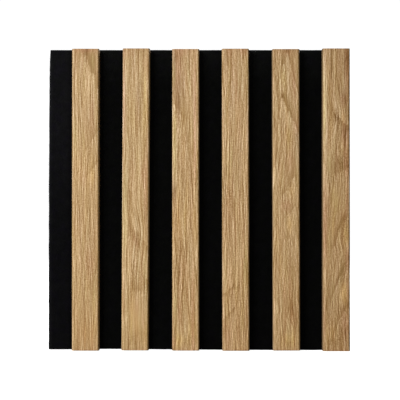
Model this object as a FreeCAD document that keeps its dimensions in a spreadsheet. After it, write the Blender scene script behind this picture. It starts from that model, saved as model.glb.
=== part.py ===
import FreeCAD, Part
import Sketcher
import math
import os

# Acoustic slat wall panel, 300 x 300 x 21 mm.
#
# A 9 mm polyester felt sheet carries six upright slats, 27 mm wide and 12 mm
# deep, on a 50 mm pitch.  The felt runs one gap (23 mm) past the first slat on
# the left and ends flush with the last slat on the right, so that panels butt
# together and the pitch carries on.  Each slat is an MDF core wrapped on its
# front and sides in oak veneer, with rounded long edges.  It is held by a bead
# of glue and by staples driven through the felt from behind.
#
# Frame: the origin is the middle of the back (wall) face.  +Z is up, along the
# slats, +X is to the right seen from the room, and the room is on the -Y side.

V = FreeCAD.Vector
doc = FreeCAD.newDocument("acoustic_slat_wall_panel")

# ---------------------------------------------------------------- dimensions
sheet = doc.addObject("Spreadsheet::Sheet", "dims")
DIMS = [
    ("panel_w", 300.0, "felt width, left edge to right edge, mm"),
    ("panel_h", 300.0, "felt height, and the slats' nominal length, mm"),
    ("felt_thk", 9.0, "felt thickness, mm"),
    ("slat_w", 27.0, "slat width over the veneer, mm"),
    ("slat_d", 12.0, "slat depth over the veneer, mm"),
    ("pitch", 50.0, "slat to slat, mm"),
    ("edge_r", 2.0, "outer radius of the long front edges, mm"),
    ("veneer_thk", 0.5, "veneer thickness, mm"),
    ("glue_w", 8.0, "width of the glue bead on the slat's back, mm"),
    ("glue_flat", 6.4, "width of the bead's bottom, in the felt, mm"),
    ("glue_deep", 0.5, "how far the bead sinks into the felt, mm"),
    ("glue_stop", 8.0, "bead stops this far short of each end, mm"),
    ("crown_w", 11.0, "staple crown, outside, mm"),
    ("wire_w", 1.2, "staple wire width along the slat, mm"),
    ("wire_thk", 0.9, "staple wire thickness, mm"),
    ("leg_len", 16.0, "staple leg, from the crown's outer face, mm"),
    ("bend_r", 0.8, "outside radius of the staple's bends, mm"),
    ("crown_sunk", 0.4, "crown below the felt's back face, mm"),
    ("row_pitch", 84.0, "staple to staple along a slat, mm"),
]
# How far each slat was laid off its true place: to the right in mm, over to the
# right at the top in degrees, and up in mm.  Last, how much longer than the felt
# it was sawn, in mm.  All zero gives the ideal panel.
LAID = [
    (0.2, 0.05, 0.05, 0.5),
    (0.1, 0.26, 0.35, 0.5),
    (-0.05, 0.0, -0.05, 0.15),
    (-0.3, -0.1, 0.0, 0.7),
    (0.1, -0.14, -0.05, 0.05),
    (0.0, -0.05, -0.05, 1.3),
]
for number, (shift, lean, rise, extra) in enumerate(LAID, start=1):
    DIMS.append(("shift_%d" % number, shift, "slat %d laid to the right by this, mm" % number))
    DIMS.append(("lean_%d" % number, lean, "slat %d out of upright by this, degrees" % number))
    DIMS.append(("rise_%d" % number, rise, "slat %d laid up by this, mm" % number))
    DIMS.append(("extra_%d" % number, extra, "slat %d longer than the felt by this, mm" % number))
for row, (alias, value, note) in enumerate(DIMS, start=1):
    sheet.set("A%d" % row, alias)
    sheet.set("B%d" % row, str(value))
    sheet.set("C%d" % row, note)
    sheet.setAlias("B%d" % row, alias)
doc.recompute()
D = {alias: float(sheet.get(alias)) for alias, _, _ in DIMS}

SLATS = 6
ROWS = 4


def slat_x(k):
    """Middle of slat k: the last slat ends flush with the felt's right edge."""
    return D["panel_w"] / 2 - D["slat_w"] / 2 - (SLATS - k) * D["pitch"] + D["shift_%d" % k]


def slat_x_expression(k):
    return "dims.panel_w / 2 - dims.slat_w / 2 - %d * dims.pitch + dims.shift_%d" % (SLATS - k, k)


def seat(obj, k, wood=False):
    """Puts a piece, modelled on the slat's own axes, on the felt at slat k.
    The slat's wood also takes its rise."""
    rise = D["rise_%d" % k] if wood else 0
    obj.Placement = FreeCAD.Placement(
        V(slat_x(k), -D["felt_thk"], rise), FreeCAD.Rotation(V(0, 1, 0), D["lean_%d" % k])
    )
    if wood:
        obj.setExpression("Placement.Base.z", "dims.rise_%d" % k)
    obj.setExpression("Placement.Base.x", slat_x_expression(k))
    obj.setExpression("Placement.Base.y", "-dims.felt_thk")
    if D["lean_%d" % k]:
        obj.setExpression("Placement.Rotation.Axis.y", "1")
        obj.setExpression("Placement.Rotation.Angle", "dims.lean_%d" % k)


# ------------------------------------------------------------ sketch helpers
def plane(body, role):
    return [f for f in body.Origin.OriginFeatures if f.Role == role][0]


def new_sketch(body, role, name):
    s = body.newObject("Sketcher::SketchObject", name)
    s.AttachmentSupport = (plane(body, role), [""])
    s.MapMode = "FlatFace"
    return s


def dim(s, kind, args, value, name, expression):
    """A named driving dimension bound to the sheet."""
    i = s.addConstraint(Sketcher.Constraint(kind, *args, value))
    s.renameConstraint(i, name)
    s.setExpression("Constraints." + name, expression)
    return i


def rectangle(s, x0, y0, x1, y1):
    """Four closed sides, anticlockwise from the lower left. Returns the first."""
    p = [V(x0, y0, 0), V(x1, y0, 0), V(x1, y1, 0), V(x0, y1, 0)]
    g = [s.addGeometry(Part.LineSegment(p[i], p[(i + 1) % 4]), False) for i in range(4)]
    for i in range(4):
        s.addConstraint(Sketcher.Constraint("Coincident", g[i], 2, g[(i + 1) % 4], 1))
    for i in (0, 2):
        s.addConstraint(Sketcher.Constraint("Horizontal", g[i]))
        s.addConstraint(Sketcher.Constraint("Vertical", g[i + 1]))
    return g[0]


def strip_section(s, width, depth, width_expr, depth_expr):
    """A rectangle whose rear side has its middle at the origin."""
    g = rectangle(s, -width / 2, -depth, width / 2, 0)
    s.addConstraint(Sketcher.Constraint("Symmetric", g + 2, 1, g + 2, 2, -1, 1))
    dim(s, "DistanceX", (g + 0, 1, g + 0, 2), width, "width", width_expr)
    dim(s, "DistanceY", (g + 1, 1, g + 1, 2), depth, "depth", depth_expr)


def rounded_section(s, width, depth, radius, width_expr, depth_expr, radius_expr):
    """The same, with the two front corners rounded."""
    w, d, r = width / 2, depth, radius
    rear = s.addGeometry(Part.LineSegment(V(-w, 0, 0), V(w, 0, 0)), False)
    right = s.addGeometry(Part.LineSegment(V(w, 0, 0), V(w, r - d, 0)), False)
    circle = Part.Circle(V(w - r, r - d, 0), V(0, 0, 1), r)
    right_arc = s.addGeometry(Part.ArcOfCircle(circle, 1.5 * math.pi, 2 * math.pi), False)
    front = s.addGeometry(Part.LineSegment(V(w - r, -d, 0), V(r - w, -d, 0)), False)
    circle = Part.Circle(V(r - w, r - d, 0), V(0, 0, 1), r)
    left_arc = s.addGeometry(Part.ArcOfCircle(circle, math.pi, 1.5 * math.pi), False)
    left = s.addGeometry(Part.LineSegment(V(-w, r - d, 0), V(-w, 0, 0)), False)
    s.addConstraint(Sketcher.Constraint("Coincident", rear, 1, left, 2))
    s.addConstraint(Sketcher.Constraint("Coincident", rear, 2, right, 1))
    s.addConstraint(Sketcher.Constraint("Tangent", right, 2, right_arc, 2))
    s.addConstraint(Sketcher.Constraint("Tangent", right_arc, 1, front, 1))
    s.addConstraint(Sketcher.Constraint("Tangent", front, 2, left_arc, 2))
    s.addConstraint(Sketcher.Constraint("Tangent", left_arc, 1, left, 1))
    s.addConstraint(Sketcher.Constraint("Horizontal", rear))
    s.addConstraint(Sketcher.Constraint("Horizontal", front))
    s.addConstraint(Sketcher.Constraint("Vertical", right))
    s.addConstraint(Sketcher.Constraint("Vertical", left))
    s.addConstraint(Sketcher.Constraint("Equal", right_arc, left_arc))
    s.addConstraint(Sketcher.Constraint("Symmetric", rear, 1, rear, 2, -1, 1))
    dim(s, "DistanceX", (rear, 1, rear, 2), width, "width", width_expr)
    dim(s, "DistanceY", (front, 1, rear, 2), depth, "depth", depth_expr)
    dim(s, "Radius", (right_arc,), radius, "corner", radius_expr)


def long_edges(shape, y):
    """Names of the straight edges that run along Z at this Y."""
    out = []
    for i, e in enumerate(shape.Edges, start=1):
        a, b = e.Vertexes[0].Point, e.Vertexes[-1].Point
        upright = abs(a.x - b.x) < 1e-6 and abs(a.y - b.y) < 1e-6 and abs(a.z - b.z) > 10
        if upright and abs(a.y - y) < 1e-6:
            out.append("Edge%d" % i)
    return out


def pad(body, s, name, length, expression, midplane=True):
    f = body.newObject("PartDesign::Pad", name)
    f.Profile = s
    f.Length = length
    f.setExpression("Length", expression)
    if midplane:
        if "SideType" in f.PropertiesList:
            f.SideType = "Symmetric"
        else:
            f.Midplane = True
    s.Visibility = False
    doc.recompute()
    return f


# ------------------------------------------------------------------ the felt
felt_sheet = doc.addObject("PartDesign::Body", "felt_sheet")
s = new_sketch(felt_sheet, "XY_Plane", "felt_section")
strip_section(s, D["panel_w"], D["felt_thk"], "dims.panel_w", "dims.felt_thk")
pad(felt_sheet, s, "felt_pad", D["panel_h"], "dims.panel_h")

# ----------------------------------------------- slats: veneer, core and glue
veneers, blanks, beads = [], [], []
for k in range(1, SLATS + 1):
    # MDF core: a planed strip with its two front edges rounded
    core = doc.addObject("PartDesign::Body", "core_blank_%d" % k)
    s = new_sketch(core, "XY_Plane", "core_section_%d" % k)
    strip_section(
        s,
        D["slat_w"] - 2 * D["veneer_thk"],
        D["slat_d"] - D["veneer_thk"],
        "dims.slat_w - 2 * dims.veneer_thk",
        "dims.slat_d - dims.veneer_thk",
    )
    p = pad(core, s, "core_pad_%d" % k, D["panel_h"] + D["extra_%d" % k], "dims.panel_h + dims.extra_%d" % k)
    f = core.newObject("PartDesign::Fillet", "core_edges_%d" % k)
    f.Base = (p, long_edges(p.Shape, -(D["slat_d"] - D["veneer_thk"])))
    f.Radius = D["edge_r"] - D["veneer_thk"]
    f.setExpression("Radius", "dims.edge_r - dims.veneer_thk")
    core.Tip = f
    seat(core, k, wood=True)
    blanks.append(core)

    # Oak veneer: one strip folded round the core's front and sides
    ven = doc.addObject("PartDesign::Body", "oak_veneer_%d" % k)
    ven.Label = "oak_veneer_%d" % k
    s = new_sketch(ven, "XY_Plane", "veneer_outside_%d" % k)
    strip_section(s, D["slat_w"], D["slat_d"], "dims.slat_w", "dims.slat_d")
    p = pad(ven, s, "veneer_pad_%d" % k, D["panel_h"] + D["extra_%d" % k], "dims.panel_h + dims.extra_%d" % k)
    f = ven.newObject("PartDesign::Fillet", "veneer_edges_%d" % k)
    f.Base = (p, long_edges(p.Shape, -D["slat_d"]))
    f.Radius = D["edge_r"]
    f.setExpression("Radius", "dims.edge_r")
    doc.recompute()
    s = new_sketch(ven, "XY_Plane", "veneer_inside_%d" % k)
    rounded_section(
        s,
        D["slat_w"] - 2 * D["veneer_thk"],
        D["slat_d"] - D["veneer_thk"],
        D["edge_r"] - D["veneer_thk"],
        "dims.slat_w - 2 * dims.veneer_thk",
        "dims.slat_d - dims.veneer_thk",
        "dims.edge_r - dims.veneer_thk",
    )
    before = f.Shape.Volume
    c = ven.newObject("PartDesign::Pocket", "veneer_hollow_%d" % k)
    c.Profile = s
    if "SideType" in c.PropertiesList:
        c.SideType = "Symmetric"
    else:
        c.Midplane = True
    c.Type = "ThroughAll"
    s.Visibility = False
    doc.recompute()
    if not c.Shape.Volume < before * 0.2:
        raise RuntimeError("the veneer's hollow cut nothing")
    ven.Tip = c
    seat(ven, k, wood=True)
    veneers.append(ven)

    # Glue: a bead along the slat's back, squashed a little way into the felt
    bead = doc.addObject("PartDesign::Body", "glue_bead_%d" % k)
    bead.Label = "glue_bead_%d" % k
    s = new_sketch(bead, "XY_Plane", "glue_section_%d" % k)
    hw, hf, deep = D["glue_w"] / 2, D["glue_flat"] / 2, D["glue_deep"]
    p = [V(-hw, 0, 0), V(hw, 0, 0), V(hf, deep, 0), V(-hf, deep, 0)]
    g = [s.addGeometry(Part.LineSegment(p[i], p[(i + 1) % 4]), False) for i in range(4)]
    for i in range(4):
        s.addConstraint(Sketcher.Constraint("Coincident", g[i], 2, g[(i + 1) % 4], 1))
    s.addConstraint(Sketcher.Constraint("PointOnObject", g[0], 1, -1))
    s.addConstraint(Sketcher.Constraint("Symmetric", g[0], 1, g[0], 2, -1, 1))
    s.addConstraint(Sketcher.Constraint("Symmetric", g[2], 1, g[2], 2, -2))
    dim(s, "DistanceX", (g[0], 1, g[0], 2), 2 * hw, "width", "dims.glue_w")
    dim(s, "DistanceX", (g[2], 2, g[2], 1), 2 * hf, "flat", "dims.glue_flat")
    dim(s, "DistanceY", (g[1], 1, g[1], 2), deep, "depth", "dims.glue_deep")
    pad(bead, s, "glue_pad_%d" % k, D["panel_h"] - 2 * D["glue_stop"], "dims.panel_h - 2 * dims.glue_stop")
    seat(bead, k)
    beads.append(bead)

# ------------------------------------------------------------------- staples
# One staple, its crown's outer face at the origin and its legs along -Y, with
# chisel points that slope from the outside in.
staple = doc.addObject("PartDesign::Body", "staple")
s = new_sketch(staple, "XY_Plane", "staple_outline")
cw, th, ll = D["crown_w"] / 2, D["wire_thk"], D["leg_len"]
pts = [
    V(-cw, 0, 0), V(-cw, -ll + 1.5 * th, 0), V(-cw + th, -ll, 0), V(-cw + th, -th, 0),
    V(cw - th, -th, 0), V(cw - th, -ll, 0), V(cw, -ll + 1.5 * th, 0), V(cw, 0, 0),
]
g = [s.addGeometry(Part.LineSegment(pts[i], pts[(i + 1) % 8]), False) for i in range(8)]
for i in range(8):
    s.addConstraint(Sketcher.Constraint("Coincident", g[i], 2, g[(i + 1) % 8], 1))
for i in (0, 2, 4, 6):
    s.addConstraint(Sketcher.Constraint("Vertical", g[i]))
s.addConstraint(Sketcher.Constraint("Horizontal", g[7]))
s.addConstraint(Sketcher.Constraint("Symmetric", g[7], 1, g[7], 2, -1, 1))
s.addConstraint(Sketcher.Constraint("Symmetric", g[3], 1, g[3], 2, -2))
s.addConstraint(Sketcher.Constraint("Horizontal", g[1], 2, g[5], 1))
s.addConstraint(Sketcher.Constraint("Horizontal", g[1], 1, g[5], 2))
dim(s, "DistanceX", (g[0], 1, g[6], 2), 2 * cw, "crown", "dims.crown_w")
dim(s, "DistanceX", (g[0], 1, g[2], 2), th, "leg_thk", "dims.wire_thk")
dim(s, "DistanceY", (g[2], 2, g[0], 1), th, "crown_thk", "dims.wire_thk")
dim(s, "DistanceY", (g[1], 2, g[0], 1), ll, "leg", "dims.leg_len")
dim(s, "DistanceY", (g[1], 2, g[1], 1), 1.5 * th, "point", "1.5 * dims.wire_thk")
p = pad(staple, s, "staple_pad", D["wire_w"], "dims.wire_w")


def bend_edges(shape, x_abs, y):
    out = []
    for i, e in enumerate(shape.Edges, start=1):
        a, b = e.Vertexes[0].Point, e.Vertexes[-1].Point
        if abs(a.x - b.x) < 1e-6 and abs(a.y - b.y) < 1e-6:
            if abs(abs(a.x) - x_abs) < 1e-6 and abs(a.y - y) < 1e-6:
                out.append("Edge%d" % i)
    return out


f = staple.newObject("PartDesign::Fillet", "staple_outer_bends")
f.Base = (p, bend_edges(p.Shape, cw, 0))
f.Radius = D["bend_r"]
f.setExpression("Radius", "dims.bend_r")
staple.Tip = f
doc.recompute()

# All the staples as driven: four up each slat, crowns level, just below the
# felt's back face.  They follow the slat's own lean.
driven = []
for k in range(1, SLATS + 1):
    turn = FreeCAD.Rotation(V(0, 1, 0), D["lean_%d" % k])
    for j in range(ROWS):
        z = (j - (ROWS - 1) / 2.0) * D["row_pitch"]
        at = V(slat_x(k), 0, 0) + turn.multVec(V(0, -D["crown_sunk"], z))
        one = f.Shape.copy()
        one.Placement = FreeCAD.Placement(at, turn)
        driven.append(one)
staples = doc.addObject("Part::Feature", "staples")
staples.Label = "staples"
staples.Shape = Part.makeCompound(driven)

# The felt takes the beads and the staples, and each core takes its staples, so
# that every piece meets its neighbour face to face.
crown_paths = doc.addObject("Part::Feature", "crown_paths")
paths = []
for one in driven:
    # the slot that each crown leaves in the felt as it sinks in
    b = Part.makeBox(D["crown_w"], D["crown_sunk"] + D["bend_r"], D["wire_w"])
    b.Placement = one.Placement.multiply(
        FreeCAD.Placement(V(-D["crown_w"] / 2, -D["bend_r"], -D["wire_w"] / 2), FreeCAD.Rotation())
    )
    paths.append(b)
crown_paths.Shape = Part.makeCompound(paths)
doc.recompute()

tools = doc.addObject("Part::Compound", "felt_inlays")
tools.Links = beads + [staples, crown_paths]
felt = doc.addObject("Part::Cut", "felt_backing")
felt.Label = "felt_backing"
felt.Base = felt_sheet
felt.Tool = tools

cores = []
for k, blank in enumerate(blanks, start=1):
    c = doc.addObject("Part::Cut", "slat_core_%d" % k)
    c.Label = "slat_core_%d" % k
    c.Base = blank
    c.Tool = staples
    cores.append(c)
doc.recompute()

# -------------------------------------------------------------------- checks
nodes = [felt] + cores + veneers + beads + [staples]
bad = [o.Name for o in doc.Objects if "Invalid" in o.State or "Error" in o.State]
if bad:
    raise RuntimeError("failed objects: %s" % bad)
for o in nodes:
    if o.Shape.isNull() or not o.Shape.isValid() or o.Shape.Volume <= 0:
        raise RuntimeError("bad shape: %s" % o.Label)
for k in range(SLATS):
    if not cores[k].Shape.Volume < blanks[k].Shape.Volume:
        raise RuntimeError("core %d wasn't cut by its staples" % (k + 1))
if not felt.Shape.Volume < felt_sheet.Shape.Volume:
    raise RuntimeError("the felt wasn't cut")

os.makedirs("parts", exist_ok=True)
for old in os.listdir("parts"):
    if old.endswith(".step"):
        os.remove(os.path.join("parts", old))
for o in nodes:
    o.Shape.exportStep(os.path.join("parts", o.Label + ".step"))
    b = o.Shape.BoundBox
    print(
        "%-16s solids %2d  volume %9.1f mm3  x %7.2f..%7.2f  y %6.2f..%6.2f  z %7.2f..%7.2f"
        % (o.Label, len(o.Shape.Solids), o.Shape.Volume, b.XMin, b.XMax, b.YMin, b.YMax, b.ZMin, b.ZMax)
    )
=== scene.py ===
import math

import bmesh
import bpy
import numpy as np
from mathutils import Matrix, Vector


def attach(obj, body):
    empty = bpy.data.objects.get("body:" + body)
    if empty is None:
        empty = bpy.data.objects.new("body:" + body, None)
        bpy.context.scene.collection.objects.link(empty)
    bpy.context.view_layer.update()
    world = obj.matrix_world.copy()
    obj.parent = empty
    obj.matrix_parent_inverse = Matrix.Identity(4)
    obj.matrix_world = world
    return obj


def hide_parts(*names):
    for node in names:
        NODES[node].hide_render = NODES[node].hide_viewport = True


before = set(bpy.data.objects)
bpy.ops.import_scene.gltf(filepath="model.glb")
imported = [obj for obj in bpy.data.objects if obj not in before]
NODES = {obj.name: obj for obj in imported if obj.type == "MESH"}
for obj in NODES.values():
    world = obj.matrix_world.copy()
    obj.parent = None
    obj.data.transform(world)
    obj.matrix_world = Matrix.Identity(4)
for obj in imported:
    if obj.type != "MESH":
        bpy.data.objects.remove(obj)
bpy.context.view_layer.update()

scene = bpy.context.scene

# ------------------------------------------------------------------ the panel
FELT_T = 0.009
SLAT_W = 0.027
PANEL = 0.150  # half the felt's width and height


def slat_axis(k):
    """Middle of slat k at z = 0, how far it moves in x for each unit of z, and the
    z of its two ends."""
    n = NODES["oak_veneer_%d" % k].data
    co = np.zeros(len(n.vertices) * 3)
    n.vertices.foreach_get("co", co)
    co = co.reshape(-1, 3)
    top, low = co[co[:, 2] > 0.14], co[co[:, 2] < -0.14]
    xt = (top[:, 0].min() + top[:, 0].max()) / 2
    xl = (low[:, 0].min() + low[:, 0].max()) / 2
    zt, zl = top[:, 2].mean(), low[:, 2].mean()
    lean = (xt - xl) / (zt - zl)
    return xt - lean * zt, lean, zl, zt


AXES = {k: slat_axis(k) for k in range(1, 7)}

# --------------------------------------------------------------------- camera
cam_data = bpy.data.cameras.new("camera")
cam_data.sensor_fit = "HORIZONTAL"
cam_data.sensor_width = 36.0
cam_data.lens = 129.2
cam_data.clip_start = 0.05
cam_data.clip_end = 50.0
cam = bpy.data.objects.new("camera", cam_data)
scene.collection.objects.link(cam)
cam.location = (0.0007, -1.449, -0.00025)
cam.rotation_euler = (math.radians(90), 0, 0)
scene.camera = cam


# ---------------------------------------------------------------- node helper
class Tree:
    """Builds shader nodes from plain sums. Every value in it is a socket."""

    def __init__(self, name):
        self.mat = bpy.data.materials.new(name)
        self.mat.use_nodes = True
        self.t = self.mat.node_tree
        self.t.nodes.clear()
        self.out = self.t.nodes.new("ShaderNodeOutputMaterial")
        self.bsdf = self.t.nodes.new("ShaderNodeBsdfPrincipled")
        self.t.links.new(self.bsdf.outputs[0], self.out.inputs[0])

    def node(self, kind, **props):
        n = self.t.nodes.new(kind)
        for k, v in props.items():
            setattr(n, k, v)
        return n

    def put(self, socket, value):
        if isinstance(value, E):
            value = value.s
        if hasattr(value, "is_output"):
            self.t.links.new(value, socket)
        else:
            socket.default_value = value

    def math(self, op, *args):
        n = self.node("ShaderNodeMath", operation=op)
        for i, a in enumerate(args):
            self.put(n.inputs[i], a)
        return E(self, n.outputs[0])

    def xyz(self, x, y, z):
        n = self.node("ShaderNodeCombineXYZ")
        for i, a in enumerate((x, y, z)):
            self.put(n.inputs[i], a)
        return E(self, n.outputs[0])

    def position(self):
        """The object's own coordinates in millimetres: the row's frame."""
        c = self.node("ShaderNodeTexCoord")
        sep = self.node("ShaderNodeSeparateXYZ")
        self.t.links.new(c.outputs["Object"], sep.inputs[0])
        return [E(self, sep.outputs[i]) * 1000.0 for i in range(3)]

    def noise(self, vec, scale=1.0, detail=2.0, rough=0.5, distort=0.0, lac=2.0):
        """Smooth noise, about 0 to 1 with its middle at 0.5."""
        n = self.node("ShaderNodeTexNoise", noise_dimensions="3D")
        self.put(n.inputs["Vector"], vec)
        n.inputs["Scale"].default_value = scale
        n.inputs["Detail"].default_value = detail
        n.inputs["Roughness"].default_value = rough
        n.inputs["Lacunarity"].default_value = lac
        n.inputs["Distortion"].default_value = distort
        return E(self, n.outputs[0])

    def cells(self, vec, scale=1.0, feature="F1", rand=1.0, out="Distance"):
        n = self.node("ShaderNodeTexVoronoi", voronoi_dimensions="3D", feature=feature)
        self.put(n.inputs["Vector"], vec)
        n.inputs["Scale"].default_value = scale
        n.inputs["Randomness"].default_value = rand
        return E(self, n.outputs[out])

    def step(self, v, lo, hi, a=0.0, b=1.0):
        """Smooth rise from a to b as v goes from lo to hi."""
        n = self.node("ShaderNodeMapRange", interpolation_type="SMOOTHSTEP")
        self.put(n.inputs[0], v)
        for i, x in enumerate((lo, hi, a, b), start=1):
            self.put(n.inputs[i], x)
        return E(self, n.outputs[0])

    def ramp(self, v, stops):
        n = self.node("ShaderNodeValToRGB")
        self.put(n.inputs[0], v)
        r = n.color_ramp
        while len(r.elements) < len(stops):
            r.elements.new(0.5)
        for e, (p, c) in zip(r.elements, stops):
            e.position = p
            e.color = (*c, 1.0)
        return E(self, n.outputs[0])

    def mix(self, f, a, b, mode="MIX"):
        n = self.node("ShaderNodeMix", data_type="RGBA", blend_type=mode)
        n.clamp_factor = True
        self.put(n.inputs[0], f)
        self.put(n.inputs[6], a if isinstance(a, E) else (*a, 1.0))
        self.put(n.inputs[7], b if isinstance(b, E) else (*b, 1.0))
        return E(self, n.outputs[2])

    def scale_colour(self, colour, f):
        n = self.node("ShaderNodeVectorMath", operation="SCALE")
        self.put(n.inputs[0], colour)
        self.put(n.inputs["Scale"], f)
        return E(self, n.outputs[0])

    def bump(self, height, distance, strength=1.0, normal=None):
        n = self.node("ShaderNodeBump")
        self.put(n.inputs["Height"], height)
        n.inputs["Distance"].default_value = distance
        n.inputs["Strength"].default_value = strength
        if normal is not None:
            self.put(n.inputs["Normal"], normal)
        return E(self, n.outputs[0])

    def finish(self, colour, rough, normal=None, spec=0.5, metal=0.0):
        b = self.bsdf
        self.put(b.inputs["Base Color"], colour)
        self.put(b.inputs["Roughness"], rough)
        b.inputs["Specular IOR Level"].default_value = spec
        b.inputs["Metallic"].default_value = metal
        if normal is not None:
            self.put(b.inputs["Normal"], normal)
        return self.mat


class E:
    """A socket with arithmetic."""

    def __init__(self, tree, s):
        self.t, self.s = tree, s

    def __add__(self, o): return self.t.math("ADD", self, o)
    def __radd__(self, o): return self.t.math("ADD", o, self)
    def __sub__(self, o): return self.t.math("SUBTRACT", self, o)
    def __rsub__(self, o): return self.t.math("SUBTRACT", o, self)
    def __mul__(self, o): return self.t.math("MULTIPLY", self, o)
    def __rmul__(self, o): return self.t.math("MULTIPLY", o, self)
    def __truediv__(self, o): return self.t.math("DIVIDE", self, o)
    def __rtruediv__(self, o): return self.t.math("DIVIDE", o, self)
    def __neg__(self): return self.t.math("MULTIPLY", self, -1.0)


def gauss(t, x, cx, rx, z, cz, rz, tilt=0.0):
    """A soft blob, 1 at its middle. tilt shears it along x as z grows."""
    u = (x - cx - (z - cz) * tilt) / rx
    v = (z - cz) / rz
    return t.math("EXPONENT", -(u * u + v * v))


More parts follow.
